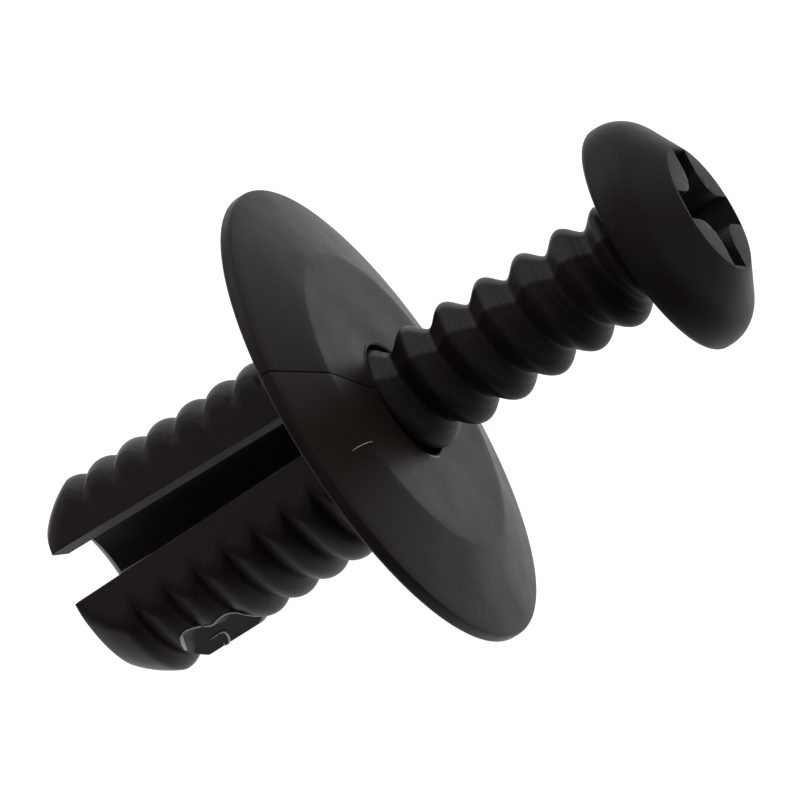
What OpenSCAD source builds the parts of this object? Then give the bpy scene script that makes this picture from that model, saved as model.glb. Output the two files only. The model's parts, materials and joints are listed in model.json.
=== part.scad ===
// Two-piece screw rivet for trim panels: a moulded grommet with a broad flange and
// a split, barbed shank, and a coarse-threaded drive screw that is started in its bore.
// Each piece is drawn upright on the clip's own axis, with z = 0 on the face that
// seats on the panel. The clip is then laid down as it comes to rest on a flat
// surface: on the rim of the flange and on the flat side of the two leg tips.

/* [Flange] */
// Diameter over the rim
flange_d = 20; // [17:0.5:26]
// Thickness at the rim
rim_t = 0.55; // [0.4:0.05:0.9]
// Thickness of the flat middle
hub_t = 1.5; // [1.2:0.05:2.2]
// Diameter of the flat middle, where the bevel to the rim starts
hub_d = 13; // [11:0.1:15]
// Radius on both corners of the rim
rim_round = 0.15; // [0.05:0.05:0.2]

/* [Shank] */
// Length from the seat to the leg tips
shank_l = 13.2; // [11:0.1:18]
// Diameter over the barbs
shank_d = 8.7; // [8:0.1:9.6]
// Thickness across the two flat sides
across_flats = 6.2; // [5.9:0.1:6.6]
// Height of a barb above the groove beside it
barb_h = 0.42; // [0.25:0.01:0.45]
// Distance from barb to barb
barb_pitch = 1.43; // [1.3:0.02:1.8]
// Radius of a barb's crest
barb_round = 0.7; // [0.6:0.05:0.8]
// Length of the plain root between the seat and the barb next to it
root_l = 1.1; // [0.9:0.1:2]
// Length of the rounded nose
nose_l = 1.45; // [1.2:0.05:2]
// Diameter of the nose at the leg tips
nose_d = 6.7; // [6.3:0.1:7.2]
// Radius of the curve along the nose
nose_round = 4.5; // [2:0.1:8]
// Thickness of the legs' ends, outside the hollow in them
tip_land = 0.25; // [0.15:0.05:0.6]
// Depth of the hollow cone in the legs' ends
tip_dish = 0.35; // [0.1:0.05:0.6]
// Width of the slot where it starts, below the seat
slot_root_w = 1.75; // [1.2:0.05:2.4]
// Width of the slot at the leg tips
slot_tip_w = 2.25; // [1.2:0.05:2.6]
// Depth below the seat at which the slot starts
slot_start = 0.9; // [0.5:0.1:2]
// Radius of the round patch left by the moulding gate
gate_r = 1.2; // [0.8:0.1:1.5]
// Depth of that patch below the seat
gate_depth = 9.6; // [5:0.1:11]

/* [Bore] */
// Radial clearance between the bore and the crests of the thread
bore_clearance = 0.12; // [0.08:0.01:0.2]
// Width of the chamfer at the bore's mouth
mouth_chamfer = 0.15; // [0.05:0.05:0.3]

/* [Screw thread] */
// Diameter over the thread
thread_d = 4.8; // [4.4:0.1:4.9]
// Height of the thread above its root
thread_h = 0.6; // [0.4:0.05:0.7]
// Advance of the thread in one turn
thread_pitch = 1.83; // [1.4:0.01:2.2]
// Length of the shaft below the head
shaft_l = 15.5; // [14:0.5:20]
// Length of the plain taper at the shaft's tip
tip_l = 1.6; // [1:0.1:2.5]
// Diameter of the shaft's flat end
tip_d = 2.6; // [2:0.1:3]
// Turn of the thread's start about the axis
thread_start = 180; // [0:5:355]

/* [Screw head] */
// Diameter of the head
head_d = 9.8; // [9:0.1:12]
// Height of the head up to its flat top
head_h = 2.65; // [2.4:0.05:3.2]
// Diameter of the flat top, inside the sloping crown
land_d = 5.5; // [5:0.1:6.4]
// Height of the widest place above the underside
head_band = 0.5; // [0.45:0.05:0.8]
// Radius that leads from the side into the crown
head_shoulder = 1.5; // [1:0.1:1.6]
// Radius on the lower edge
head_edge = 0.35; // [0.1:0.05:0.45]
// Length of the flare under the head
neck_l = 1.3; // [0.8:0.1:2]
// Diameter of the flare where it meets the head
neck_d = 4.7; // [4.4:0.1:5.4]

/* [Cross recess] */
// Width of the flat top left outside the ends of the wings
recess_rim = 0.15; // [0.1:0.05:0.4]
// Depth below the flat top
recess_depth = 2.1; // [1.6:0.1:2.3]
// Width over the wings at the bottom
recess_floor_d = 3; // [2.2:0.1:3.4]
// Width of a wing
wing_w = 1.25; // [0.9:0.05:1.4]
// Diameter of the round middle at the flat top
core_d = 2.8; // [2.4:0.1:3.4]
// Diameter of the round middle at the bottom
core_floor_d = 1.8; // [1.4:0.1:2.2]
// Turn of the cross about the axis
recess_turn = 8; // [0:1:89]

/* [As delivered] */
// Gap left between the flange and the head before the screw is driven home
stand_off = 11.8; // [8:0.05:13]

/* [Hidden] */

// Steps round a full circle for the true curves
$fn = 96;
// Material added to a cutting tool so that it passes clear of the faces it cuts
cut = 1;

flange_r = flange_d / 2;
hub_r = hub_d / 2;
crest_r = shank_d / 2;
groove_r = crest_r - barb_h;
nose_r = nose_d / 2;
flat_x = across_flats / 2;

thread_r = thread_d / 2;
root_r = thread_r - thread_h;
neck_r = neck_d / 2;
bore_r = thread_r + bore_clearance;
mouth_r = bore_r + mouth_chamfer;
dish_r = nose_r - tip_land;

head_r = head_d / 2;
land_r = land_d / 2;
recess_d = land_d - 2 * recess_rim;

// Height of the head's underside above the seat
head_z = hub_t + stand_off;
// Height of the shaft's end above the seat
shaft_z = head_z - shaft_l;

// Height of the first barb's crest, where the nose starts
first_barb_z = nose_l - shank_l;
barb_count = floor((-root_l - first_barb_z) / barb_pitch) + 1;
// Length of a barb's ramp, which fills the pitch that its round back leaves
barb_back = sqrt(pow(barb_round, 2) - pow(barb_round - barb_h, 2));
barb_ramp = barb_pitch - barb_back;

// Axis of the clip above the horizontal when it lies on its rim and its leg tips:
// the line from the tips' flat that just touches the rounded rim
rim_run = flange_r - rim_round - flat_x;
rim_rise = rim_round + shank_l;
rim_reach = sqrt(pow(rim_run, 2) + pow(rim_rise, 2));
lie_angle = atan2(rim_run, rim_rise) + asin(rim_round / rim_reach);

// Steps of the thread's surface, round one turn and along one pitch
thread_sides = 24;
thread_rings_per_pitch = 10;
// Length the shaft runs up into the head, so that the two make one solid
head_bite = 0.4;

// Lays an upright piece down, its head end raised and one flat side below
module lay() {
    rotate([0, 90 - lie_angle, 0]) children();
}

// Place where a line from an outer point touches a circle, on the side away from the axis
function touch(from, centre, r) = let (
    away = from - centre,
    at = atan2(away[1], away[0]) - sign(away[1]) * acos(r / norm(away))
) centre + r * [cos(at), sin(at)];

// Width of the slot at a depth below the seat
function slot_w(depth) = slot_root_w
    + (slot_tip_w - slot_root_w) * (depth - slot_start) / (shank_l - slot_start);

// Section of the flange: a flat middle, a bevel and a rounded rim
module flange_section() {
    inner_r = flange_r - rim_round;
    polygon([[0, 0], [inner_r, 0], [inner_r, rim_t], [hub_r, hub_t], [0, hub_t]]);
    translate([inner_r, rim_round]) square([rim_round, rim_t - 2 * rim_round]);
    for (z = [rim_round, rim_t - rim_round])
        translate([inner_r, z]) circle(rim_round);
}

// Section of one barb: a ramp that rises from the tip side to a round crest
module barb_section() {
    centre = [crest_r - barb_round, 0];
    foot = [groove_r, -barb_ramp];
    translate(centre) circle(barb_round);
    polygon([[0, -barb_ramp], foot, touch(foot, centre, barb_round), centre, [0, 0]]);
}

// Section of the nose: an arc from the first barb's crest in to the leg tips
module nose_section() {
    run = crest_r - nose_r;
    half_chord = sqrt(pow(run, 2) + pow(nose_l, 2)) / 2;
    drop = sqrt(pow(nose_round, 2) - pow(half_chord, 2)) / (2 * half_chord);
    centre = [
        (crest_r + nose_r) / 2 - drop * nose_l,
        -shank_l + nose_l / 2 + drop * run
    ];
    intersection() {
        translate(centre) circle(nose_round, $fn = 2 * $fn);
        translate([0, -shank_l]) square([crest_r, nose_l]);
    }
    translate([0, -shank_l]) square([nose_r - barb_h, nose_l]);
}

// Half section of the shank before the flats, the slot and the bore are cut
module shank_section() {
    translate([0, first_barb_z]) square([groove_r, -first_barb_z]);
    for (i = [1 : barb_count - 1])
        translate([0, first_barb_z + i * barb_pitch]) barb_section();
    intersection() {
        translate([0, first_barb_z]) barb_section();
        translate([0, first_barb_z]) square([crest_r, barb_pitch]);
    }
    nose_section();
}

// The barbed shank with its two flat sides, still solid inside
module shank_blank() {
    intersection() {
        rotate_extrude() intersection() {
            shank_section();
            translate([0, -shank_l]) square([crest_r, shank_l]);
        }
        translate([-flat_x, -crest_r - cut, -shank_l - cut])
            cube([across_flats, 2 * (crest_r + cut), shank_l + 2 * cut]);
    }
}

// The round patch on one leg where the moulding gate was broken off
module gate_patch() {
    intersection() {
        translate([0, 0, -shank_l]) cylinder(r = crest_r, h = shank_l);
        translate([0, -bore_r - barb_h, -gate_depth])
            rotate([90, 0, 0]) cylinder(r = gate_r, h = crest_r);
    }
}

// The slot that parts the two legs, open to both flat sides and to the tips
module leg_slot() {
    below = shank_l + cut;
    rotate([90, 0, 90])
        linear_extrude(height = across_flats + 2 * cut, center = true)
            polygon([
                [-slot_root_w / 2, -slot_start],
                [slot_root_w / 2, -slot_start],
                [slot_w(below) / 2, -below],
                [-slot_w(below) / 2, -below]
            ]);
}

// The through bore with its chamfered mouth and the hollow cone in the legs' ends
module screw_bore() {
    translate([0, 0, -shank_l - cut]) cylinder(r = bore_r, h = shank_l + hub_t + 2 * cut);
    translate([0, 0, hub_t - mouth_chamfer])
        cylinder(r1 = bore_r, r2 = mouth_r, h = mouth_chamfer);
    translate([0, 0, -shank_l]) cylinder(r1 = dish_r, r2 = bore_r, h = tip_dish);
}

module grommet() {
    color([0.12, 0.12, 0.12]) lay() difference() {
        union() {
            rotate_extrude() flange_section();
            shank_blank();
            gate_patch();
        }
        screw_bore();
        leg_slot();
    }
}

// Share of the thread's height at a share of its pitch: broad round crests
function thread_form(t) = pow(pow(cos(180 * t), 2), 0.8);

// Radius of the shaft's core at a height above its end, with the tip's taper
function core_at(z) = z < tip_l ? tip_d / 2 + (root_r - tip_d / 2) * z / tip_l : root_r;

// Height of the thread there: it grows out of the tip and runs out into the neck
function thread_h_at(z) = thread_h
    * min(1, max(0, z / tip_l))
    * min(1, max(0, (shaft_l - neck_l / 2 - z) / (neck_l / 2)));

// Radius of the flare under the head, a quarter round that meets the underside
function neck_at(z) = let (s = min(1, max(0, (z - shaft_l + neck_l) / neck_l)))
    root_r + (neck_r - root_r) * (1 - sqrt(1 - pow(s, 2)));

// Radius of the threaded shaft at an angle and a height above its end
function shaft_r(angle, z) = max(
    neck_at(z),
    core_at(z) + thread_h_at(z) * thread_form(z / thread_pitch - (angle - thread_start) / 360)
);

// The shaft as one closed skin: rings of points from its end up into the head
module threaded_shaft() {
    step = thread_pitch / thread_rings_per_pitch;
    heights = concat(
        [for (z = [0 : step : shaft_l - step / 2]) z],
        [shaft_l, shaft_l + head_bite]
    );
    last = len(heights) - 1;
    points = [
        for (z = heights, i = [0 : thread_sides - 1])
            let (angle = i * 360 / thread_sides, r = shaft_r(angle, z))
                [r * cos(angle), r * sin(angle), z]
    ];
    function at(ring, i) = ring * thread_sides + i % thread_sides;
    skin = [
        for (k = [0 : last - 1], i = [0 : thread_sides - 1]) each [
            [at(k, i), at(k + 1, i + 1), at(k, i + 1)],
            [at(k, i), at(k + 1, i), at(k + 1, i + 1)]
        ]
    ];
    lower_end = [for (i = [0 : thread_sides - 1]) at(0, i)];
    upper_end = [for (i = [thread_sides - 1 : -1 : 0]) at(last, i)];
    polyhedron(points, concat(skin, [lower_end, upper_end]));
}

// Half section of the head: a rounded edge, a shoulder arc, a sloping crown and a flat top
module head_section() {
    edge = [head_r - head_edge, head_edge];
    shoulder = [head_r - head_shoulder, head_band];
    top = [land_r, head_h];
    polygon([
        [0, 0],
        [edge[0], 0],
        [edge[0], head_band],
        touch(top, shoulder, head_shoulder),
        top,
        [0, head_h]
    ]);
    translate(edge) circle(head_edge);
    translate([0, head_edge]) square([head_r, head_band - head_edge]);
    intersection() {
        translate(shoulder) circle(head_shoulder);
        translate([0, head_edge]) square([head_r, head_h - head_edge]);
    }
}

// The cross recess: four tapering wings round a tapering middle
module cross_recess() {
    flare = (recess_d - recess_floor_d) / recess_depth;
    core_flare = (core_d - core_floor_d) / recess_depth;
    tall = recess_depth + cut;
    translate([0, 0, head_h - recess_depth]) rotate(recess_turn) {
        cylinder(d1 = core_floor_d, d2 = core_floor_d + core_flare * tall, h = tall);
        intersection() {
            cylinder(d1 = recess_floor_d, d2 = recess_floor_d + flare * tall, h = tall);
            union() {
                for (turn = [0, 90])
                    rotate(turn)
                        translate([-recess_d, -wing_w / 2, 0]) cube([2 * recess_d, wing_w, tall]);
            }
        }
    }
}

module drive_screw() {
    color([0.1, 0.1, 0.1]) lay() {
        translate([0, 0, head_z]) difference() {
            rotate_extrude() head_section();
            cross_recess();
        }
        translate([0, 0, shaft_z]) threaded_shaft();
    }
}

grommet();
drive_screw();
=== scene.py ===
"""Black moulded screw rivet: soft moulded edges, moulding marks, plastics, studio and camera.

Each piece is modelled upright on the clip's own axis in millimetres, with z = 0 on the face that
seats on the panel, and is then laid down into the row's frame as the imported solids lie.
"""
from __future__ import annotations

import json
import logging
import math
from dataclasses import dataclass
from dataclasses import field
from enum import Enum
from typing import Any
from typing import Callable
from typing import Iterable

import bmesh
import bpy
from mathutils import Matrix
from mathutils import Vector

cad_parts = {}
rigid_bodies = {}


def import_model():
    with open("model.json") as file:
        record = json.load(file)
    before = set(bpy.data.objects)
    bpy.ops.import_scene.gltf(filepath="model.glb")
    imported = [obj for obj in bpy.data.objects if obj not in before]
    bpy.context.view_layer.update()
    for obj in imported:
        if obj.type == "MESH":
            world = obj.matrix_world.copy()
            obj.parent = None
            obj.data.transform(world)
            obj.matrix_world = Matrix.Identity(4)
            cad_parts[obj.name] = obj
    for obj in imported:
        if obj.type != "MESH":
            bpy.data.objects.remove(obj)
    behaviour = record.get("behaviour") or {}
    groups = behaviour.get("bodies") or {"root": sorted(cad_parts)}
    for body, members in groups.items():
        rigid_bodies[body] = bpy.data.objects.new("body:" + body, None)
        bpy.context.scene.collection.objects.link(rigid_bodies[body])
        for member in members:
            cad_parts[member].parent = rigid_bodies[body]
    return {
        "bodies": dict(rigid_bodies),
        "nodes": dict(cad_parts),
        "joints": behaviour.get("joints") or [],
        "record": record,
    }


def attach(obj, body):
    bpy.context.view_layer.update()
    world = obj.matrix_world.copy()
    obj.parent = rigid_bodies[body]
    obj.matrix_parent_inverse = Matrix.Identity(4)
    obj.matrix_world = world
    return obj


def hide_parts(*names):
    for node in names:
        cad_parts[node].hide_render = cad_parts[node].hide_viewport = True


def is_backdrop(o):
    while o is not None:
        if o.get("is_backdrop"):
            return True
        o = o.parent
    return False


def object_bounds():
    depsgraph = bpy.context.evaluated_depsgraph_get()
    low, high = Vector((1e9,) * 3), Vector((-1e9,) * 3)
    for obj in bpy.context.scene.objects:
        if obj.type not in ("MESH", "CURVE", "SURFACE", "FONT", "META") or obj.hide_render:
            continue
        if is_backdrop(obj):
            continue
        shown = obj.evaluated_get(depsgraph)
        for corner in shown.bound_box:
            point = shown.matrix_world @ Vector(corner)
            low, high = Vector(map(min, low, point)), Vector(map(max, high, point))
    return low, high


LOG = logging.getLogger("screw_rivet")

# One millimetre in the row's metres
MM = 0.001
# Points closer than this, in millimetres, are one point
WELD = 1e-4
# Edges with a greater angle than this, in degrees, look crisp
CRISP = 50
# Share of a bead's thickness that is left at its ends
BEAD_END = 0.35
# How far a cutting solid reaches past the skin that it cuts, in millimetres
CLEAR = 1.0
# How strongly large faces lead the shading at their corners, out of 100
FACE_WEIGHT = 80

Section = list[Vector]


class Cut(Enum):
    """What a second solid does to the first."""

    TAKE_AWAY = "DIFFERENCE"
    JOIN = "UNION"


class Skin(Enum):
    """Which plastic a skin of the grommet shows, by its place in the grommet's list of finishes."""

    PLAIN = 0
    # Pale torn plastic; on the gate scar's lip and curl its pale colour is partly a painted highlight
    TEAR_AND_HIGHLIGHT = 1


def srgb_hex(code: str) -> tuple[float, float, float, float]:
    """Turns an sRGB hex colour into linear light.

    Args:
        code: Six hex digits with a leading hash.

    Returns:
        Linear red, green, blue and an alpha of one.
    """
    channels = [int(code[i:i + 2], 16) / 255 for i in (1, 3, 5)]
    red, green, blue = (c / 12.92 if c <= 0.04045 else ((c + 0.055) / 1.055) ** 2.4 for c in channels)
    return red, green, blue, 1.0


def add_node(
    tree: bpy.types.NodeTree,
    kind: str,
    settings: dict[str, Any] | None = None,
    inputs: dict[str | int, Any] | None = None,
) -> bpy.types.Node:
    """Adds a node with its settings, and links or sets its inputs.

    Args:
        tree: The node tree that gets the node.
        kind: The node's type name.
        settings: Properties of the node itself.
        inputs: Socket name or number, with the socket to link from or the value to set.

    Returns:
        The new node.
    """
    node = tree.nodes.new(kind)
    for key, value in (settings or {}).items():
        setattr(node, key, value)
    for key, value in (inputs or {}).items():
        if isinstance(value, bpy.types.NodeSocket):
            tree.links.new(value, node.inputs[key])
        else:
            node.inputs[key].default_value = value
    return node


def arc(centre: tuple[float, float], radius: float, start: float, end: float, steps: int) -> Section:
    """Gives the points of an arc in a half section.

    Args:
        centre: Radius from the axis and height of the arc's centre.
        radius: Radius of the arc.
        start: First angle in degrees, counted from outwards towards upwards.
        end: Last angle in degrees.
        steps: Number of straight pieces.

    Returns:
        The points, both ends included, with x outwards and z upwards.
    """
    turns = [math.radians(start + (end - start) * i / steps) for i in range(steps + 1)]
    return [Vector((centre[0] + radius * math.cos(t), 0, centre[1] + radius * math.sin(t))) for t in turns]


def spin_section(points: Section, sides: int, closed: bool) -> bmesh.types.BMesh:
    """Turns a half section about the z axis into a closed skin.

    Args:
        points: The section, with x outwards and z upwards.
        sides: Steps round the full turn.
        closed: Whether the last point joins the first; if not, both lie on the axis.

    Returns:
        The skin, its doubles merged and its faces outwards.
    """
    bm = bmesh.new()
    verts = [bm.verts.new(p) for p in points]
    edges = [bm.edges.new(pair) for pair in zip(verts, verts[1:])]
    if closed:
        edges.append(bm.edges.new((verts[-1], verts[0])))
    bmesh.ops.spin(bm, geom=verts + edges, cent=(0, 0, 0), axis=(0, 0, 1), dvec=(0, 0, 0),
                   angle=2 * math.pi, steps=sides, use_merge=True, use_duplicate=False)
    bmesh.ops.remove_doubles(bm, verts=bm.verts, dist=WELD)
    bmesh.ops.recalc_face_normals(bm, faces=bm.faces)
    return bm


def prism(outline: Section, half_width: float) -> bmesh.types.BMesh:
    """Extrudes an outline in the xz plane along y, to both sides.

    Args:
        outline: The outline's points in order.
        half_width: How far it reaches to each side.

    Returns:
        The closed prism.
    """
    bm = bmesh.new()
    face = bm.faces.new([bm.verts.new(p + Vector((0, -half_width, 0))) for p in outline])
    grown = bmesh.ops.extrude_face_region(bm, geom=[face])["geom"]
    moved = [v for v in grown if isinstance(v, bmesh.types.BMVert)]
    bmesh.ops.translate(bm, verts=moved, vec=(0, 2 * half_width, 0))
    bmesh.ops.recalc_face_normals(bm, faces=bm.faces)
    return bm


def loft(floor: Section, top: Section) -> bmesh.types.BMesh:
    """Joins two outlines with the same number of points into a closed solid.

    Args:
        floor: The lower outline's points in order.
        top: The upper outline's points in the same order.

    Returns:
        The closed solid.
    """
    bm = bmesh.new()
    low = [bm.verts.new(p) for p in floor]
    high = [bm.verts.new(p) for p in top]
    count = len(low)
    for i in range(count):
        j = (i + 1) % count
        bm.faces.new((low[i], low[j], high[j], high[i]))
    bm.faces.new(low)
    bm.faces.new(high)
    bmesh.ops.recalc_face_normals(bm, faces=bm.faces)
    return bm


def soften(line: Section, rounds: int, closed: bool) -> Section:
    """Rounds the corners of a line by cutting them off again and again.

    Args:
        line: The line's points in order.
        rounds: How often each corner is cut.
        closed: Whether the last point joins the first; if not, both ends stay.

    Returns:
        The softened line.
    """
    for _ in range(rounds):
        ends = line[:1] if closed else []
        pairs = zip(line, line[1:] + ends)
        cut = [a.lerp(b, share) for a, b in pairs for share in (0.25, 0.75)]
        line = cut if closed else line[:1] + cut[1:-1] + line[-1:]
    return line


def as_object(name: str, bm: bmesh.types.BMesh) -> bpy.types.Object:
    """Turns a bmesh into an object in the scene and frees the bmesh.

    Args:
        name: The object's name.
        bm: The mesh to take over.

    Returns:
        The new object.
    """
    mesh = bpy.data.meshes.new(name)
    bm.to_mesh(mesh)
    bm.free()
    made = bpy.data.objects.new(name, mesh)
    bpy.context.scene.collection.objects.link(made)
    return made


def combine(body: bpy.types.Object, tool: bmesh.types.BMesh, cut: Cut) -> None:
    """Joins a second solid to an object, or takes it away, and keeps only the result.

    Args:
        body: The object that is changed.
        tool: The second solid, which is used up.
        cut: What the second solid does.
    """
    other = as_object("tool", tool)
    step = body.modifiers.new("step", "BOOLEAN")
    step.operation = cut.value
    step.solver = "EXACT"
    step.object = other
    graph = bpy.context.evaluated_depsgraph_get()
    result = bpy.data.meshes.new_from_object(body.evaluated_get(graph))
    body.modifiers.remove(step)
    worn, body.data = body.data, result
    bpy.data.meshes.remove(worn)
    spent = other.data
    bpy.data.objects.remove(other)
    bpy.data.meshes.remove(spent)


def round_edges(
    bm: bmesh.types.BMesh,
    radius: float,
    sharper_than: float,
    where: Callable[[Vector], bool],
) -> None:
    """Rounds the sharp edges of a skin as a mould leaves them.

    Args:
        bm: The skin.
        radius: Width of the rounding.
        sharper_than: Least angle between the faces of an edge, in degrees.
        where: Says for an edge's middle whether the edge is rounded.
    """
    least = math.radians(sharper_than)
    edges = [
        e for e in bm.edges
        if len(e.link_faces) == 2
        and e.calc_face_angle(0) > least
        and where((e.verts[0].co + e.verts[1].co) / 2)
    ]
    bmesh.ops.bevel(bm, geom=edges, offset=radius, offset_type="OFFSET", segments=2, profile=0.5,
                    affect="EDGES", clamp_overlap=True, material=-1)


def touch_angle(point: tuple[float, float], centre: tuple[float, float], radius: float) -> float:
    """Finds where a straight line from an outer point runs into an arc, on the side away from the axis.

    Args:
        point: Radius from the axis and height of the point.
        centre: Radius from the axis and height of the arc's centre.
        radius: Radius of the arc.

    Returns:
        The angle on the arc in degrees, counted from outwards towards upwards.
    """
    run, rise = point[0] - centre[0], point[1] - centre[1]
    half = math.degrees(math.acos(radius / math.hypot(run, rise)))
    return math.degrees(math.atan2(rise, run)) - math.copysign(half, rise)


def smooth_step(low: float, high: float, value: float) -> float:
    """Rises smoothly from 0 at low to 1 at high."""
    share = min(1.0, max(0.0, (value - low) / (high - low)))
    return share * share * (3 - 2 * share)


def soft_min(first: float, second: float, blend: float) -> float:
    """Gives the smaller of two lengths, with the change from one to the other rounded over a blend."""
    share = max(0.0, 1 - abs(first - second) / blend)
    return min(first, second) - share * share * blend / 4


def tube(path: Section, radius: float, sides: int = 8) -> bmesh.types.BMesh:
    """Draws a round bead along a path, thinner towards both ends.

    Args:
        path: The bead's middle line.
        radius: The bead's radius at its thickest.
        sides: Sides of its round section.

    Returns:
        The closed bead.
    """
    bm = bmesh.new()
    last = len(path) - 1
    rings = []
    for i, point in enumerate(path):
        ahead = (path[min(i + 1, last)] - path[max(i - 1, 0)]).normalized()
        frame = ahead.to_track_quat("Z", "Y").to_matrix()
        thick = radius * (BEAD_END + (1 - BEAD_END) * math.sin(math.pi * (i + 1) / (last + 2)))
        turns = [2 * math.pi * k / sides for k in range(sides)]
        ring = [point + frame @ Vector((math.cos(t), math.sin(t), 0)) * thick for t in turns]
        rings.append([bm.verts.new(p) for p in ring])
    for low, high in zip(rings, rings[1:]):
        for k in range(sides):
            j = (k + 1) % sides
            bm.faces.new((low[k], low[j], high[j], high[k]))
    bm.faces.new(rings[0])
    bm.faces.new(rings[-1])
    bmesh.ops.recalc_face_normals(bm, faces=bm.faces)
    return bm


@dataclass(frozen=True)
class ClipFrame:
    """Where the clip's own axis lies in the row's frame."""

    lay: Matrix

    @classmethod
    def from_row(cls, frame: dict[str, Any]) -> ClipFrame:
        """Reads the axis from the joint that drives the screw.


        Returns:
            The clip's frame.
        """
        joint = frame["record"]["behaviour"]["joints"][0]
        axis = Vector(joint["axis"]).normalized()
        return cls(Matrix.Rotation(math.atan2(axis.x, axis.z), 4, "Y"))

    def lay_down(self, bm: bmesh.types.BMesh) -> None:
        """Moves an upright skin in millimetres into the row's frame in metres."""
        bmesh.ops.transform(bm, matrix=self.lay @ Matrix.Scale(MM, 4), verts=bm.verts)


@dataclass(frozen=True)
class MouldedPlastic:
    """Polyamide from a fine-sparked mould: a satin skin with a faint even grain, pale where it is torn. On
    the gate scar's lip and curl the pale plastic is partly the tear's whitening and partly a painted
    highlight.

    The eye gets a soft sheen at low angles, a slightly warm grey on faces that see the light, and a
    mottled gloss where the melt has flowed.
    """

    name: str
    colour: str
    worn_colour: str
    roughness: float
    specular: float
    # Width of one grain of the mould's skin in millimetres, drawn about three times as coarse as it is
    grain_mm: float
    grain_depth_mm: float
    # Width of the cloudy patches of gloss in millimetres
    cloud_mm: float
    # How far the roughness differs between the patches, and how strongly the grain shows
    gloss_spread: float = 0.05
    grain_strength: float = 0.6

    def make(self) -> bpy.types.Material:
        """Builds the node material.

        Returns:
            The finished material.
        """
        material = bpy.data.materials.new(self.name)
        material.use_nodes = True
        tree = material.node_tree
        tree.nodes.clear()
        place = add_node(tree, "ShaderNodeTexCoord").outputs["Object"]
        cloud = add_node(tree, "ShaderNodeTexNoise", {"noise_dimensions": "3D"},
                         {"Vector": place, "Scale": 1 / (self.cloud_mm * MM), "Detail": 3.0,
                          "Roughness": 0.55})
        grain = add_node(tree, "ShaderNodeTexNoise", {"noise_dimensions": "3D"},
                         {"Vector": place, "Scale": 1 / (self.grain_mm * MM), "Detail": 2.0,
                          "Roughness": 0.6})
        mix = add_node(tree, "ShaderNodeMix", {"data_type": "RGBA"},
                       {"Factor": cloud.outputs["Fac"], "A": srgb_hex(self.colour),
                        "B": srgb_hex(self.worn_colour)})
        gloss = add_node(tree, "ShaderNodeMapRange", {},
                         {"Value": cloud.outputs["Fac"], "From Min": 0.3, "From Max": 0.7,
                          "To Min": self.roughness - self.gloss_spread,
                          "To Max": self.roughness + self.gloss_spread})
        bump = add_node(tree, "ShaderNodeBump", {},
                        {"Height": grain.outputs["Fac"], "Strength": self.grain_strength,
                         "Distance": self.grain_depth_mm * MM})
        shader = add_node(tree, "ShaderNodeBsdfPrincipled", {},
                          {"Base Color": mix.outputs["Result"], "Roughness": gloss.outputs["Result"],
                           "Normal": bump.outputs["Normal"], "IOR": 1.5,
                           "Specular IOR Level": self.specular})
        add_node(tree, "ShaderNodeOutputMaterial", {}, {"Surface": shader.outputs["BSDF"]})
        return material


GROMMET_PLASTIC = MouldedPlastic(
    name="polyamide_sparked", colour="#181411", worn_colour="#1d1814", roughness=0.4, specular=0.08,
    grain_mm=0.11, grain_depth_mm=0.008, cloud_mm=2.5)
SCREW_PLASTIC = MouldedPlastic(
    name="polyamide_satin", colour="#161210", worn_colour="#1a1613", roughness=0.43, specular=0.086,
    grain_mm=0.12, grain_depth_mm=0.008, cloud_mm=1.8)
# Pale torn plastic of the burr, the scuff and the gate scar; on the scar's lip and curl the pale colour is
# partly the tear's whitening and partly a painted highlight
TEAR_AND_HIGHLIGHT_PLASTIC = MouldedPlastic(
    name="polyamide_tear_and_painted_highlight", colour="#8d8a86", worn_colour="#b3b0ab", roughness=0.5, specular=0.3,
    grain_mm=0.1, grain_depth_mm=0.01, cloud_mm=0.4)


def add_skin(bm: bmesh.types.BMesh, other: bmesh.types.BMesh, finish: Skin) -> None:
    """Adds a second closed skin to a mesh and frees it.

    Args:
        bm: The mesh that grows.
        other: The skin to add, which is used up.
        finish: The plastic that the added skin shows.
    """
    for face in other.faces:
        face.material_index = finish.value
    mesh = bpy.data.meshes.new("added_skin")
    other.to_mesh(mesh)
    other.free()
    bm.from_mesh(mesh)
    bpy.data.meshes.remove(mesh)


def finish_piece(
    piece: bpy.types.Object,
    node: str,
    body: str,
    finishes: Iterable[MouldedPlastic],
) -> None:
    """Gives a piece its plastics and puts it in the place of its solid.

    Args:
        piece: The modelled piece.
        node: The solid that it stands for.
        body: The body that it rides on.
        finishes: Its plastics, in the order of the numbers on its faces.
    """
    for finish in finishes:
        piece.data.materials.append(finish.make())
    for polygon in piece.data.polygons:
        polygon.use_smooth = True
    piece.data.set_sharp_from_angle(angle=math.radians(CRISP))
    even = piece.modifiers.new("even_normals", "WEIGHTED_NORMAL")
    even.weight = FACE_WEIGHT
    even.keep_sharp = True
    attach(piece, body)
    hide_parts(node)


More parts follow.
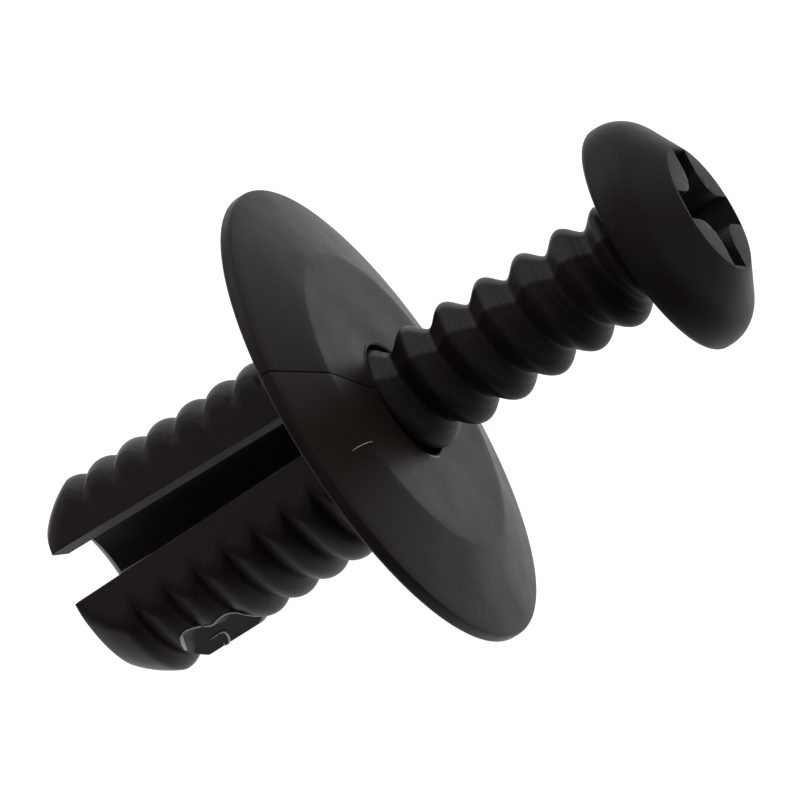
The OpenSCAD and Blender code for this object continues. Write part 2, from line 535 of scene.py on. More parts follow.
@dataclass
class Grommet:
    """The flange and the split, ribbed shank, in one moulding. Sizes are millimetres."""

    flange_r: float = 10.0
    rim_t: float = 0.55
    rim_round: float = 0.15
    hub_t: float = 1.5
    hub_r: float = 6.5
    # Width and drop of the worn fold between the hub and the bevel
    fold_w: float = 0.06
    fold_drop: float = 0.004
    bore_r: float = 2.52
    mouth: float = 0.08
    # A thin lip of flash that narrows the bore at its mouth
    lip: float = 0.05
    lip_l: float = 0.3
    shank_l: float = 13.2
    crest_r: float = 4.35
    rib_h: float = 0.42
    rib_pitch: float = 1.43
    rib_round: float = 0.7
    root_l: float = 1.1
    nose_l: float = 1.45
    nose_r: float = 3.35
    nose_round: float = 4.5
    tip_land: float = 0.25
    tip_dish: float = 0.35
    flat_x: float = 3.1
    # How far the flat sides run softly into the ribs
    flat_blend: float = 0.32
    slot_start: float = 0.9
    slot_root_w: float = 1.75
    slot_tip_w: float = 2.25
    # The scar of the gate on one leg's back: depth below the seat, turn of its floor about the axis
    # and the floor's distance from the axis
    gate_depth: float = 9.6
    gate_turn: float = 250.0
    gate_floor: float = 3.52
    # Place of the scar's middle across its floor, how far the cut reaches out, and its wall's lean
    gate_across: float = -2.56
    gate_reach: float = 1.2
    gate_lean: float = 1.4
    # How much longer the cut is outside the leg than on its floor
    gate_flare: float = 1.12
    # The two places up the floor between which the wall comes to its full lean
    gate_wall: tuple[float, float] = (-0.6, 0.8)
    # The pad that fills the grooves where the gate was: its depth and turn, half its width in degrees
    # and half its length
    pad_depth: float = 9.35
    pad_turn: float = 286.0
    pad_half_turn: float = 26.0
    pad_half_l: float = 1.5
    # Shares of the half length and the half width where the pad starts to run out
    pad_full_l: float = 0.85
    pad_full_turn: float = 0.75
    # Thickness of the torn lip along the scar, of its torn end, and of the curl of flash left in the scar
    gate_lip: float = 0.04
    gate_tear: float = 0.085
    curl_thick: float = 0.045
    # The lip follows the scar above this line on its floor: height at its middle, and fall along the clip
    lip_foot: float = 0.5
    lip_fall: float = 0.2
    # Thickness of the rolled rim and of the pale burr on the edge of the bore's mouth, and how deep their
    # middle line lies, so that the driven head stays clear of them
    rim_thick: float = 0.06
    burr_thick: float = 0.045
    mouth_sink: float = 0.025
    # Turns of the two ends of the rolled rim and of the burr
    rim_turns: tuple[float, float] = (62.0, 196.0)
    burr_turns: tuple[float, float] = (262.0, 294.0)
    # A thin scuff across the hub's edge: radii and turns of its two ends
    scuff_r: tuple[float, float] = (7.8, 6.25)
    scuff_turn: tuple[float, float] = (206.0, 208.2)
    scuff_thick: float = 0.015
    scuff_sides: int = 6
    seam_w: float = 0.07
    seam_depth: float = 0.06
    # The shallow sink of the skin along the seam
    sink_depth: float = 0.04
    sink_w: float = 1.3
    # How far from the bore the sink takes to reach its depth
    sink_fade: float = 1.0
    # Share of the rim's thickness above which the skin sinks
    sink_from: float = 0.6
    # Rounding of the shank's cut edges, the least angle of an edge that gets it, and its least depth
    # below the seat
    edge_round: float = 0.02
    edge_angle: float = 38.0
    edge_below: float = 0.1
    sides: int = 240

    def ribs(self) -> Section:
        """Gives the outline of the ribs, from the seat down to the nose.

        Returns:
            The outline's points.
        """
        centre_r = self.crest_r - self.rib_round
        groove_r = self.crest_r - self.rib_h
        rise = groove_r - centre_r
        back = math.sqrt(self.rib_round ** 2 - rise ** 2)
        ramp = self.rib_pitch - back
        first = self.nose_l - self.shank_l
        count = int((-self.root_l - first) / self.rib_pitch) + 1
        top = math.degrees(math.asin(back / self.rib_round))
        outline: Section = [Vector((groove_r, 0, 0))]
        for i in reversed(range(count)):
            z = first + i * self.rib_pitch
            foot = (groove_r, z - ramp)
            low = touch_angle(foot, (centre_r, z), self.rib_round) if i else 0.0
            outline += arc((centre_r, z), self.rib_round, top, low, 10)
            if i:
                outline.append(Vector((foot[0], 0, foot[1])))
        return outline

    def nose(self) -> Section:
        """Gives the outline of the nose, from the first rib's crest to the leg tips.

        Returns:
            The outline's points.
        """
        run = self.crest_r - self.nose_r
        half = math.hypot(run, self.nose_l) / 2
        drop = math.sqrt(self.nose_round ** 2 - half ** 2) / (2 * half)
        centre = ((self.crest_r + self.nose_r) / 2 - drop * self.nose_l,
                  -self.shank_l + self.nose_l / 2 + drop * run)
        first = self.nose_l - self.shank_l
        start = math.degrees(math.atan2(first - centre[1], self.crest_r - centre[0]))
        end = math.degrees(math.atan2(-self.shank_l - centre[1], self.nose_r - centre[0]))
        return arc(centre, self.nose_round, start, end, 8)[1:]

    def section(self) -> Section:
        """Gives the closed half section of the whole moulding.

        Returns:
            The section's points, up the bore, over the flange and down the shank.
        """
        rim_r = self.flange_r - self.rim_round
        bevel = math.atan2(self.hub_t - self.rim_t, rim_r - self.hub_r)
        mouth_r = self.bore_r - self.lip
        bore = [
            Vector((self.nose_r - self.tip_land, 0, -self.shank_l)),
            Vector((self.bore_r, 0, self.tip_dish - self.shank_l)),
            Vector((self.bore_r, 0, 0)),
            Vector((self.bore_r, 0, self.hub_t - self.lip_l)),
        ]
        mouth = arc((mouth_r + self.mouth, self.hub_t - self.mouth), self.mouth, 180, 90, 4)
        hub_ring = 0.35
        hub_edge = self.hub_r - self.fold_w
        hub = [Vector((hub_edge - i * hub_ring, 0, self.hub_t)) for i in reversed(range(9))]
        slope = Vector((math.cos(bevel), 0, -math.sin(bevel)))
        edge = Vector((self.hub_r, 0, self.hub_t))
        length = (rim_r - self.hub_r) / math.cos(bevel)
        drop = Vector((0, 0, -self.fold_drop))
        third = self.fold_w / 3
        fold = [edge + Vector((-third, 0, 0)) + drop, edge + slope * third + drop]
        cone = [edge + slope * (self.fold_w + (length - self.fold_w) * i / 8) for i in range(8)]
        turn = math.degrees(bevel)
        upper = arc((rim_r, self.rim_t - self.rim_round), self.rim_round, 90 - turn, 0, 4)
        lower = arc((rim_r, self.rim_round), self.rim_round, 0, -90, 4)
        under = [Vector((self.hub_r, 0, 0))]
        return bore + mouth + hub + fold + cone + upper + lower + under + self.ribs() + self.nose()

    def flatten_sides(self, bm: bmesh.types.BMesh) -> None:
        """Presses the shank's two sides flat, with a soft run into the ribs.

        Args:
            bm: The turned skin, upright.
        """
        for vert in bm.verts:
            radius = math.hypot(vert.co.x, vert.co.y)
            if vert.co.z > WELD or not self.bore_r + WELD < radius < self.crest_r + WELD:
                continue
            flat_r = self.flat_x * radius / max(abs(vert.co.x), WELD)
            wanted = soft_min(radius, flat_r, self.flat_blend)
            if vert.co.z < WELD - self.shank_l and radius < self.nose_r - WELD:
                outer = soft_min(self.nose_r, flat_r, self.flat_blend)
                wanted = min(radius, outer - self.tip_land / 3)
            vert.co.xy = vert.co.xy * (wanted / radius)

    def pad_share(self, place: Vector) -> float:
        """Tells how far the gate's pad fills the grooves at a place.

        Args:
            place: The place on the upright clip.

        Returns:
            The share of the grooves that is filled, from 0 to 1.
        """
        along = abs(place.z + self.pad_depth) / self.pad_half_l
        turn = math.degrees(math.atan2(place.y, place.x)) - self.pad_turn
        around = abs((turn + 180) % 360 - 180) / self.pad_half_turn
        return ((1 - smooth_step(self.pad_full_l, 1.0, along))
                * (1 - smooth_step(self.pad_full_turn, 1.0, around)))

    def fill_gate(self, bm: bmesh.types.BMesh) -> None:
        """Fills the grooves with a pad where the gate broke off, on one leg's back.

        Args:
            bm: The turned skin, upright.
        """
        for vert in bm.verts:
            radius = math.hypot(vert.co.x, vert.co.y)
            if radius > self.crest_r - self.rib_h - WELD:
                share = self.pad_share(vert.co)
                vert.co.xy = vert.co.xy * (1 + (self.crest_r / radius - 1) * share)

    def rib_radius(self, z: float) -> float:
        """Gives the outer radius of the ribs at a height.

        Args:
            z: The height, between the nose and the seat.

        Returns:
            The radius before the sides are pressed flat.
        """
        outline = self.ribs()
        for high, low in zip(outline, outline[1:]):
            if low.z <= z <= high.z and high.z - low.z > WELD:
                return low.x + (high.x - low.x) * (z - low.z) / (high.z - low.z)
        return self.crest_r

    @property
    def gate_place(self) -> Matrix:
        """Finds the place of the gate's scar.

        Returns:
            The scar's own frame: x along the clip, y up its floor and z straight out of it.
        """
        turn = math.radians(self.gate_turn)
        out = Vector((math.cos(turn), math.sin(turn), 0))
        along = Vector((0, 0, 1))
        across = out.cross(along)
        middle = out * self.gate_floor + across * self.gate_across - along * self.gate_depth
        return Matrix.Translation(middle) @ Matrix((along, across, out)).transposed().to_4x4()

    def gate_outlines(self) -> tuple[Section, Section]:
        """Gives the torn outline of the scar.

        Returns:
            The outline on the scar's floor, and the one outside the leg, up the leaning wall.
        """
        torn = [(-1.4, -1.2), (1.8, -1.2), (1.8, 0.2), (1.55, 0.65), (1.2, 1.35), (0.85, 1.3), (0.45, 1.1),
                (-0.1, 1.65), (-0.55, 1.75), (-0.95, 1.0), (-1.3, 0.55), (-1.4, 0.1)]
        floor = soften([Vector((x, y, 0)) for x, y in torn], 2, closed=True)
        lean = self.gate_lean * self.gate_reach
        top: Section = []
        for p in floor:
            rise = lean * smooth_step(*self.gate_wall, p.y)
            top.append(Vector((p.x * self.gate_flare, p.y + rise, self.gate_reach)))
        place = self.gate_place
        return [place @ p for p in floor], [place @ p for p in top]

    def torn_lip(self) -> Section:
        """Finds the scar's upper edge on the ribs' skin.

        Returns:
            The edge's points, from the flange's end to the nose's end.
        """
        floor, top = self.gate_outlines()
        upright = self.gate_place.inverted()
        steps = 50
        path: Section = []
        for low, high in zip(floor, top):
            foot = upright @ low
            if foot.y < self.lip_foot - self.lip_fall * foot.x:
                continue
            for step in range(steps + 1):
                place = low.lerp(high, step / steps)
                rib = self.rib_radius(place.z)
                skin = rib + (self.crest_r - rib) * self.pad_share(place)
                if math.hypot(place.x, place.y) >= skin:
                    break
            path.append(place)
        return path

    def gate_curl(self) -> Section:
        """Draws the small curl of flash that stayed in the scar.

        Returns:
            The curl's middle line, just above the scar's floor.
        """
        bends = [(-0.42, 0.74), (-0.1, 0.78), (0.14, 0.76), (0.2, 0.6), (0.12, 0.28), (-0.04, 0.02),
                 (-0.2, -0.02), (-0.27, 0.06), (-0.2, 0.17)]
        line = soften([Vector((x, y, self.curl_thick / 2)) for x, y in bends], 2, closed=False)
        return [self.gate_place @ point for point in line]

    def mouth_edge(self, first: float, last: float) -> Section:
        """Draws a part of the edge of the bore's mouth.

        Args:
            first: Turn of its first end in degrees.
            last: Turn of its last end in degrees.

        Returns:
            The edge's points.
        """
        reach = self.bore_r + self.rim_thick
        turns = [math.radians(first + (last - first) * i / 24) for i in range(25)]
        height = self.hub_t - self.mouth_sink
        return [Vector((math.cos(t) * reach, math.sin(t) * reach, height)) for t in turns]

    def scuff(self) -> Section:
        """Draws the thin scuff across the edge between the hub and the bevel.

        Returns:
            The scuff's middle line on the flange's face.
        """
        fall = (self.hub_t - self.rim_t) / (self.flange_r - self.rim_round - self.hub_r)
        line: Section = []
        for i in range(13):
            share = i / 12
            turn = math.radians(self.scuff_turn[0] + (self.scuff_turn[1] - self.scuff_turn[0]) * share ** 2)
            reach = self.scuff_r[0] + (self.scuff_r[1] - self.scuff_r[0]) * share
            height = self.hub_t - fall * max(0.0, reach - self.hub_r)
            line.append(Vector((math.cos(turn) * reach, math.sin(turn) * reach, height)))
        return line

    def marks(self) -> list[tuple[bmesh.types.BMesh, Skin]]:
        """Makes the thin beads that the moulding and its handling left on the skin.

        Returns:
            Each bead with the plastic that it shows.
        """
        lip = self.torn_lip()
        torn_end = lip[-len(lip) // 5:]
        return [
            # The pale plastic on the scar's lip, its torn end and the curl is partly whitened tear and partly
            # a painted highlight
            (tube(lip, self.gate_lip), Skin.TEAR_AND_HIGHLIGHT),
            (tube(torn_end, self.gate_tear), Skin.TEAR_AND_HIGHLIGHT),
            (tube(self.gate_curl(), self.curl_thick), Skin.TEAR_AND_HIGHLIGHT),
            (tube(self.mouth_edge(*self.rim_turns), self.rim_thick), Skin.PLAIN),
            (tube(self.mouth_edge(*self.burr_turns), self.burr_thick), Skin.TEAR_AND_HIGHLIGHT),
            (tube(self.scuff(), self.scuff_thick, self.scuff_sides), Skin.TEAR_AND_HIGHLIGHT),
        ]

    def sink_seam(self, bm: bmesh.types.BMesh) -> None:
        """Lets the flange's face sink a little towards the line where the two melt fronts met.

        Args:
            bm: The turned skin, upright.
        """
        for vert in bm.verts:
            radius = math.hypot(vert.co.x, vert.co.y)
            if vert.co.z < self.rim_t * self.sink_from or radius < self.bore_r + self.mouth or vert.co.x > 0:
                continue
            fade = smooth_step(self.bore_r, self.bore_r + self.sink_fade, radius)
            vert.co.z -= self.sink_depth * fade * math.exp(-abs(vert.co.y) / self.sink_w)

    def seam_tool(self) -> bmesh.types.BMesh:
        """Makes the thin blade that cuts the seam line into the flange's face.

        Returns:
            The blade.
        """
        deep = self.seam_depth + self.sink_depth
        rim_r = self.flange_r - self.rim_round
        outer = self.flange_r - self.seam_depth
        outline = [
            Vector((-self.bore_r, 0, self.hub_t - self.seam_depth)),
            Vector((-self.bore_r - self.sink_fade, 0, self.hub_t - deep)),
            Vector((-self.hub_r, 0, self.hub_t - deep)),
            Vector((-rim_r, 0, self.rim_t - deep)),
            Vector((-outer, 0, self.rim_t / 2)),
            Vector((-outer, 0, self.rim_round)),
            Vector((-self.flange_r - CLEAR, 0, self.rim_round)),
            Vector((-self.flange_r - CLEAR, 0, self.hub_t + CLEAR)),
            Vector((-self.bore_r, 0, self.hub_t + CLEAR)),
        ]
        return prism(outline, self.seam_w / 2)

    def slot_tool(self) -> bmesh.types.BMesh:
        """Makes the wedge that parts the two legs.

        Returns:
            The wedge, which runs through the shank along x.
        """
        spread = (self.slot_tip_w - self.slot_root_w) / (self.shank_l - self.slot_start)
        below = self.shank_l + CLEAR
        root = self.slot_root_w / 2
        tip = root + spread * (below - self.slot_start) / 2
        outline = [
            Vector((-root, 0, -self.slot_start)),
            Vector((root, 0, -self.slot_start)),
            Vector((tip, 0, -below)),
            Vector((-tip, 0, -below)),
        ]
        wedge = prism(outline, self.flat_x + CLEAR)
        quarter = Matrix.Rotation(math.pi / 2, 3, "Z")
        bmesh.ops.rotate(wedge, verts=wedge.verts, cent=(0, 0, 0), matrix=quarter)
        return wedge

    def build(self, clip: ClipFrame) -> bpy.types.Object:
        """Models the grommet and puts it in place.

        Args:
            clip: Where the clip lies.

        Returns:
            The finished piece.
        """
        skin = spin_section(self.section(), self.sides, closed=True)
        self.flatten_sides(skin)
        self.fill_gate(skin)
        self.sink_seam(skin)
        piece = as_object("grommet_moulding", skin)
        combine(piece, self.slot_tool(), Cut.TAKE_AWAY)
        combine(piece, self.seam_tool(), Cut.TAKE_AWAY)
        combine(piece, loft(*self.gate_outlines()), Cut.TAKE_AWAY)
        bm = bmesh.new()
        bm.from_mesh(piece.data)
        bmesh.ops.remove_doubles(bm, verts=bm.verts, dist=WELD)
        round_edges(bm, self.edge_round, self.edge_angle, lambda middle: middle.z < -self.edge_below)
        for bead, finish in self.marks():
            add_skin(bm, bead, finish)
        clip.lay_down(bm)
        bm.to_mesh(piece.data)
        bm.free()
        finish_piece(piece, "grommet", "grommet_body", (GROMMET_PLASTIC, TEAR_AND_HIGHLIGHT_PLASTIC))
        return piece


@dataclass
class DriveScrew:
    """The coarse-threaded screw with its round head. Sizes are millimetres."""

    head_z: float = 13.3
    head_r: float = 4.9
    head_h: float = 2.65
    land_r: float = 2.75
    head_band: float = 0.5
    head_shoulder: float = 1.5
    head_edge: float = 0.35
    # Rounding of the edge between the crown and the flat top
    land_round: float = 0.15
    neck_l: float = 1.3
    neck_r: float = 2.35
    shaft_l: float = 15.5
    thread_r: float = 2.4
    thread_h: float = 0.6
    thread_pitch: float = 1.83
    thread_start: float = 180.0
    # How narrow the thread's crests are, and the spare pitches swept at each end
    thread_peak: float = 1.6
    spare: int = 2
    tip_l: float = 1.6
    tip_r: float = 1.3
    # How far the shaft reaches into the head
    head_bite: float = 0.4
    # Width of the flat top that is left outside the ends of the recess's wings
    recess_rim: float = 0.15
    recess_floor_d: float = 3.0
    recess_depth: float = 2.1
    wing_w: float = 1.25
    wing_fillet: float = 1.1
    recess_turn: float = 8.0
    # Rounding of the recess's edges, the least angle of an edge that gets it, and its least height
    # above the recess's floor
    recess_lip: float = 0.05
    recess_angle: float = 25.0
    recess_above: float = 0.1
    # Middle of the upper mould half, the turn over which the lower half runs out flat to the parting
    # ridges, and the turn of the upper half's flat from them
    mould_turn: float = 81.0
    mould_flat: float = 12.5
    mould_face: float = 20.0
    # A fine line along the crest's upper flank: its place as a share of the pitch, its width and depth
    crest_line_at: float = 0.28
    crest_line_w: float = 0.07
    crest_line_depth: float = 0.022
    thread_sides: int = 120
    thread_rows: int = 20
    head_sides: int = 160

    @property
    def root_r(self) -> float:
        """Radius at the thread's root."""
        return self.thread_r - self.thread_h

    def shaft_radius(self, z: float, crest: float) -> float:
        """Gives the shaft's radius at a height above its end.

        Args:
            z: Height above the shaft's end.
            crest: Share of the thread's height there, from 0 at the root to 1 at the crest.

        Returns:
            The radius, with the tip's taper, the thread's run-out and the flare under the head.
        """
        core = self.root_r
        if z < self.tip_l:
            core = self.tip_r + (self.root_r - self.tip_r) * z / self.tip_l
        grown = min(1.0, max(0.0, z / self.tip_l))
        run_out = min(1.0, max(0.0, (self.shaft_l - self.neck_l / 2 - z) / (self.neck_l / 2)))
        flare = min(1.0, max(0.0, (z - self.shaft_l + self.neck_l) / self.neck_l))
        neck = self.root_r + (self.neck_r - self.root_r) * (1 - math.sqrt(1 - flare ** 2))
        return max(neck, core + self.thread_h * grown * run_out * crest)

    def mould_ridge(self, turn: float) -> float:
        """Gives the factor on the radius at a place round the shaft, for the ridges between the mould halves.

        Args:
            turn: The place round the axis in degrees.

        Returns:
            The factor, one away from the ridges.
        """
        past = abs((turn - self.mould_turn + 180) % 360 - 180) - 90
        ridge = 1 / math.cos(math.radians(self.mould_flat))
        if past >= 0:
            return 1 / math.cos(math.radians(max(0.0, self.mould_flat - past)))
        lean = min(90 - self.mould_face, abs(past + self.mould_face))
        flat = ridge * math.cos(math.radians(self.mould_face)) / math.cos(math.radians(lean))
        return flat if past > -self.mould_face else min(1.0, flat)

    def shaft(self) -> bmesh.types.BMesh:
        """Sweeps one pitch of the thread up the axis and cuts it to length.

        Returns:
            The closed shaft, its end at z = 0.
        """
        bm = bmesh.new()
        half = self.crest_line_w / 2 / self.thread_pitch
        line = [self.crest_line_at + half * k for k in (-1, 0, 1)]
        even = [i / self.thread_rows for i in range(self.thread_rows + 1)]
        shares = sorted(line + [s for s in even if abs(s - self.crest_line_at) > 1.5 * half])
        verts = []
        for s in shares:
            height = self.thread_h * abs(math.cos(math.pi * s)) ** self.thread_peak
            if s == self.crest_line_at:
                height -= self.crest_line_depth
            verts.append(bm.verts.new((self.root_r + height, 0, (s - self.spare) * self.thread_pitch)))
        edges = [bm.edges.new(pair) for pair in zip(verts, verts[1:])]
        bmesh.ops.rotate(bm, verts=verts, cent=(0, 0, 0),
                         matrix=Matrix.Rotation(math.radians(self.thread_start), 3, "Z"))
        turns = math.ceil(self.shaft_l / self.thread_pitch) + 2 * self.spare
        bmesh.ops.spin(bm, geom=verts + edges, cent=(0, 0, 0), axis=(0, 0, 1),
                       dvec=(0, 0, self.thread_pitch / self.thread_sides), angle=2 * math.pi * turns,
                       steps=turns * self.thread_sides, use_merge=False, use_duplicate=False)
        bmesh.ops.remove_doubles(bm, verts=bm.verts, dist=WELD)
        top = self.shaft_l + self.head_bite
        for height, way in ((0.0, -1), (top, 1)):
            everything = bm.verts[:] + bm.edges[:] + bm.faces[:]
            bmesh.ops.bisect_plane(bm, geom=everything, dist=WELD, plane_co=(0, 0, height),
                                   plane_no=(0, 0, way), clear_outer=True)
        for vert in bm.verts:
            radius = math.hypot(vert.co.x, vert.co.y)
            share = (radius - self.root_r) / self.thread_h
            swell = self.mould_ridge(math.degrees(math.atan2(vert.co.y, vert.co.x)))
            vert.co.xy = vert.co.xy * (self.shaft_radius(vert.co.z, share) * swell / radius)
        open_edges = [e for e in bm.edges if e.is_boundary]
        bmesh.ops.holes_fill(bm, edges=open_edges, sides=0)
        bmesh.ops.recalc_face_normals(bm, faces=bm.faces)
        return bm

    def head(self) -> bmesh.types.BMesh:
        """Turns the head, still without its recess.

        Returns:
            The closed head, its underside at z = 0.
        """
        shoulder = (self.head_r - self.head_shoulder, self.head_band)
        slope = touch_angle((self.land_r, self.head_h), shoulder, self.head_shoulder)
        edge_r = self.head_r - self.head_edge
        inset = self.land_round * math.tan(math.radians(90 - slope) / 2)
        fold = (self.land_r - inset, self.head_h - self.land_round)
        points = [Vector((fold[0] * i / 6, 0, self.head_h)) for i in range(6)]
        points += arc(fold, self.land_round, 90, slope, 4)
        points += arc(shoulder, self.head_shoulder, slope, 0, 14)
        points += arc((edge_r, self.head_edge), self.head_edge, 0, -90, 6)
        points += [Vector((self.neck_r, 0, 0)), Vector((0, 0, 0))]
        return spin_section(points, self.head_sides, closed=False)

    def recess_tool(self) -> bmesh.types.BMesh:
        """Makes the tapering solid with four wings that cuts the cross recess.

        Returns:
            The cutting solid, placed for a head whose underside is at z = 0.
        """
        reach = self.land_r - self.recess_rim
        half_w = self.wing_w / 2
        inner = half_w + self.wing_fillet
        quarter = [Vector((reach, -half_w, 0)), Vector((reach, half_w, 0))]
        for i in range(9):
            turn = math.radians(270 - 90 * i / 8)
            corner = Vector((math.cos(turn), math.sin(turn), 0))
            quarter.append(Vector((inner, inner, 0)) + corner * self.wing_fillet)
        spins = [Matrix.Rotation(math.radians(self.recess_turn + 90 * k), 3, "Z") for k in range(4)]
        outline = [spin @ point for spin in spins for point in quarter]
        tall = self.recess_depth + CLEAR
        small = self.recess_floor_d / 2 / reach
        large = small + (1 - small) * tall / self.recess_depth
        lift = Vector((0, 0, self.head_h - self.recess_depth))
        raised = lift + Vector((0, 0, tall))
        return loft([p * small + lift for p in outline], [p * large + raised for p in outline])

    def build(self, clip: ClipFrame) -> bpy.types.Object:
        """Models the screw and puts it in place.

        Args:
            clip: Where the clip lies.

        Returns:
            The finished piece.
        """
        piece = as_object("drive_screw_moulding", self.head())
        combine(piece, self.recess_tool(), Cut.TAKE_AWAY)
        bm = bmesh.new()
        bm.from_mesh(piece.data)
        bmesh.ops.remove_doubles(bm, verts=bm.verts, dist=WELD)
        above_floor = self.head_h - self.recess_depth + self.recess_above
        round_edges(bm, self.recess_lip, self.recess_angle, lambda middle: middle.z > above_floor)
        bm.to_mesh(piece.data)
        bm.free()
        shaft = self.shaft()
        bmesh.ops.translate(shaft, verts=shaft.verts, vec=(0, 0, -self.shaft_l))
        combine(piece, shaft, Cut.JOIN)
        bm = bmesh.new()
        bm.from_mesh(piece.data)
        bmesh.ops.translate(bm, verts=bm.verts, vec=(0, 0, self.head_z))
        clip.lay_down(bm)
        bm.to_mesh(piece.data)
        bm.free()
        finish_piece(piece, "drive_screw", "screw_body", (SCREW_PLASTIC,))
        return piece


@dataclass(frozen=True)
class SoftBox:
    """One square studio light, aimed at the clip."""

    name: str
    azimuth: float
    elevation: float
    side_m: float
    power: float
    distance_m: float = 0.6

    def make(self) -> bpy.types.Object:
        """Hangs the light.

        Returns:
            The light's object.
        """
        lamp = bpy.data.lights.new(self.name, "AREA")
        lamp.shape = "SQUARE"
        lamp.size = self.side_m
        lamp.energy = self.power
        turn, rise = math.radians(self.azimuth), math.radians(self.elevation)
        away = Vector((math.sin(turn) * math.cos(rise), -math.cos(turn) * math.cos(rise), math.sin(rise)))
        made = bpy.data.objects.new(self.name, lamp)
        made.location = away * self.distance_m
        made.rotation_euler = away.to_track_quat("Z", "Y").to_euler()
        bpy.context.scene.collection.objects.link(made)
        return made


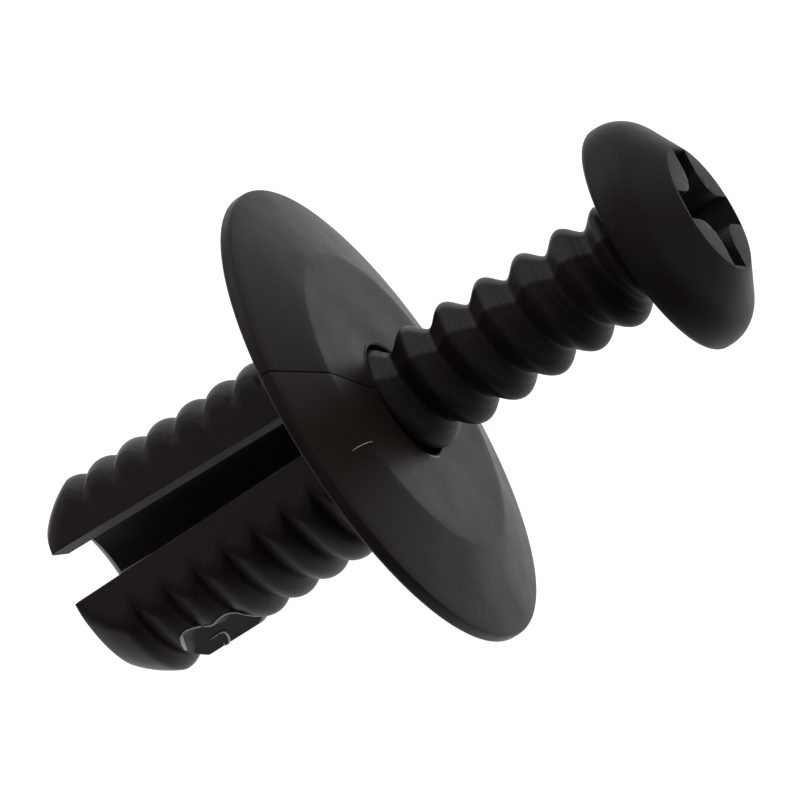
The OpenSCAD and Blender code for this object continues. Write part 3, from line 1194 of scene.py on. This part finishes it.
@dataclass
class Studio:
    """The pale floor, the lights and the camera at the photograph's angle."""

    # Angle between the clip's axis and the line of sight
    axis_to_sight: float = 72.2
    # Angle of the clip's axis above the picture's horizontal
    axis_rise: float = 32.2
    # Turn of the slot's opening away from the line of sight
    slot_turn: float = 21.6
    # Width of the picture at the clip, how far its middle lies right of the seat's centre and above it,
    # and the camera's distance, in millimetres
    frame_w: float = 30.82
    centre_right: float = 1.02
    centre_up: float = 0.73
    camera_distance: float = 700.0
    floor_half_m: float = 3.0
    # The floor is a light table: a pale sheet that glows by itself
    floor_colour: str = "#8a8a8a"
    glow_colour: str = "#fffdf9"
    glow: float = 1.03
    # The glow fades between these distances from the clip, in millimetres, down to what is left far away
    glow_near: float = 22.0
    glow_far: float = 70.0
    glow_rest: float = 0.3
    world_colour: str = "#ffffff"
    wall_strength: float = 0.06
    ceiling_strength: float = 0.6
    # Height on a unit sphere from which the walls pass into the ceiling
    ceiling_from: float = 0.75
    lights: list[SoftBox] = field(default_factory=lambda: [
        SoftBox("back_left_light", azimuth=222, elevation=16, side_m=0.5, power=1.7),
        SoftBox("back_light", azimuth=178, elevation=26, side_m=0.6, power=2.3),
        SoftBox("back_right_light", azimuth=132, elevation=18, side_m=0.5, power=0.9),
        SoftBox("right_light", azimuth=70, elevation=30, side_m=0.6, power=0.9),
        SoftBox("front_light", azimuth=-35, elevation=45, side_m=0.6, power=0.4),
    ])

    def floor(self, low_z: float) -> bpy.types.Object:
        """Lays the floor under the clip.

        Args:
            low_z: Height of the clip's lowest point.

        Returns:
            The floor's object.
        """
        bm = bmesh.new()
        bmesh.ops.create_grid(bm, x_segments=1, y_segments=1, size=self.floor_half_m,
                              matrix=Matrix.Translation((0, 0, low_z)))
        made = as_object("floor", bm)
        material = bpy.data.materials.new("glowing_sheet")
        material.use_nodes = True
        tree = material.node_tree
        tree.nodes.clear()
        place = add_node(tree, "ShaderNodeTexCoord").outputs["Object"]
        away = add_node(tree, "ShaderNodeVectorMath", {"operation": "LENGTH"}, {0: place}).outputs["Value"]
        fade = add_node(tree, "ShaderNodeMapRange", {"interpolation_type": "SMOOTHSTEP"},
                        {"Value": away, "From Min": self.glow_near * MM, "From Max": self.glow_far * MM,
                         "To Min": self.glow, "To Max": self.glow_rest})
        shader = add_node(tree, "ShaderNodeBsdfPrincipled", {},
                          {"Base Color": srgb_hex(self.floor_colour), "Roughness": 0.9,
                           "Specular IOR Level": 0.1, "Emission Color": srgb_hex(self.glow_colour),
                           "Emission Strength": fade.outputs["Result"]})
        add_node(tree, "ShaderNodeOutputMaterial", {}, {"Surface": shader.outputs["BSDF"]})
        made.data.materials.append(material)
        made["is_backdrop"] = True
        return made

    def world(self) -> None:
        """Fills the room with faint light, strongest at the ceiling."""
        world = bpy.data.worlds.new("white_room")
        world.use_nodes = True
        tree = world.node_tree
        tree.nodes.clear()
        place = add_node(tree, "ShaderNodeTexCoord").outputs["Generated"]
        height = add_node(tree, "ShaderNodeSeparateXYZ", {}, {"Vector": place}).outputs["Z"]
        fade = add_node(tree, "ShaderNodeMapRange", {"interpolation_type": "SMOOTHSTEP"},
                        {"Value": height, "From Min": self.ceiling_from, "From Max": 1.0,
                         "To Min": self.wall_strength, "To Max": self.ceiling_strength})
        sky = add_node(tree, "ShaderNodeBackground", {},
                       {"Color": srgb_hex(self.world_colour), "Strength": fade.outputs["Result"]})
        add_node(tree, "ShaderNodeOutputWorld", {}, {"Surface": sky.outputs["Background"]})
        bpy.context.scene.world = world

    def camera(self, clip: ClipFrame) -> bpy.types.Object:
        """Sets the camera at the photograph's angle.

        Args:
            clip: Where the clip lies.

        Returns:
            The camera's object.
        """
        lay = clip.lay.to_3x3()
        axis, flat, leg = (lay @ Vector(v) for v in ((0, 0, 1), (-1, 0, 0), (0, 1, 0)))
        turn, tilt, roll = (math.radians(v) for v in (self.slot_turn, self.axis_to_sight, self.axis_rise))
        near = math.cos(turn) * flat - math.sin(turn) * leg
        across = math.sin(turn) * flat + math.cos(turn) * leg
        along = math.sin(tilt) * axis - math.cos(tilt) * near
        sight = math.cos(tilt) * axis + math.sin(tilt) * near
        right = math.cos(roll) * along - math.sin(roll) * across
        up = math.sin(roll) * along + math.cos(roll) * across
        middle = right * self.centre_right + up * self.centre_up
        lens = bpy.data.cameras.new("photo_camera")
        lens.sensor_width = 36.0
        lens.lens = lens.sensor_width * self.camera_distance / self.frame_w
        lens.clip_start = 0.01
        made = bpy.data.objects.new("photo_camera", lens)
        turned = Matrix((right, up, sight)).transposed().to_4x4()
        made.matrix_world = Matrix.Translation((middle + sight * self.camera_distance) * MM) @ turned
        bpy.context.scene.collection.objects.link(made)
        bpy.context.scene.camera = made
        return made

    def build(self, clip: ClipFrame, low_z: float) -> None:
        """Sets up floor, room, lights and camera.

        Args:
            clip: Where the clip lies.
            low_z: Height of the clip's lowest point.
        """
        self.floor(low_z)
        self.world()
        for light in self.lights:
            light.make()
        self.camera(clip)
        bpy.context.scene.view_settings.view_transform = "Standard"


def plain_box(box: Iterable[Iterable[float]]) -> list[list[float]]:
    """Turns a box's two corners into plain lists of numbers."""
    return [[float(v) for v in corner] for corner in box]


def main() -> None:
    """Builds the two pieces and the studio."""
    logging.basicConfig(level=logging.INFO, format="%(message)s")
    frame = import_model()
    cad_box = plain_box(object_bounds())
    clip = ClipFrame.from_row(frame)
    for part in (Grommet(), DriveScrew()):
        piece = part.build(clip)
        LOG.info("%s: %d faces", piece.name, len(piece.data.polygons))
    Studio().build(clip, cad_box[0][2])


if __name__ == "__main__":
    main()
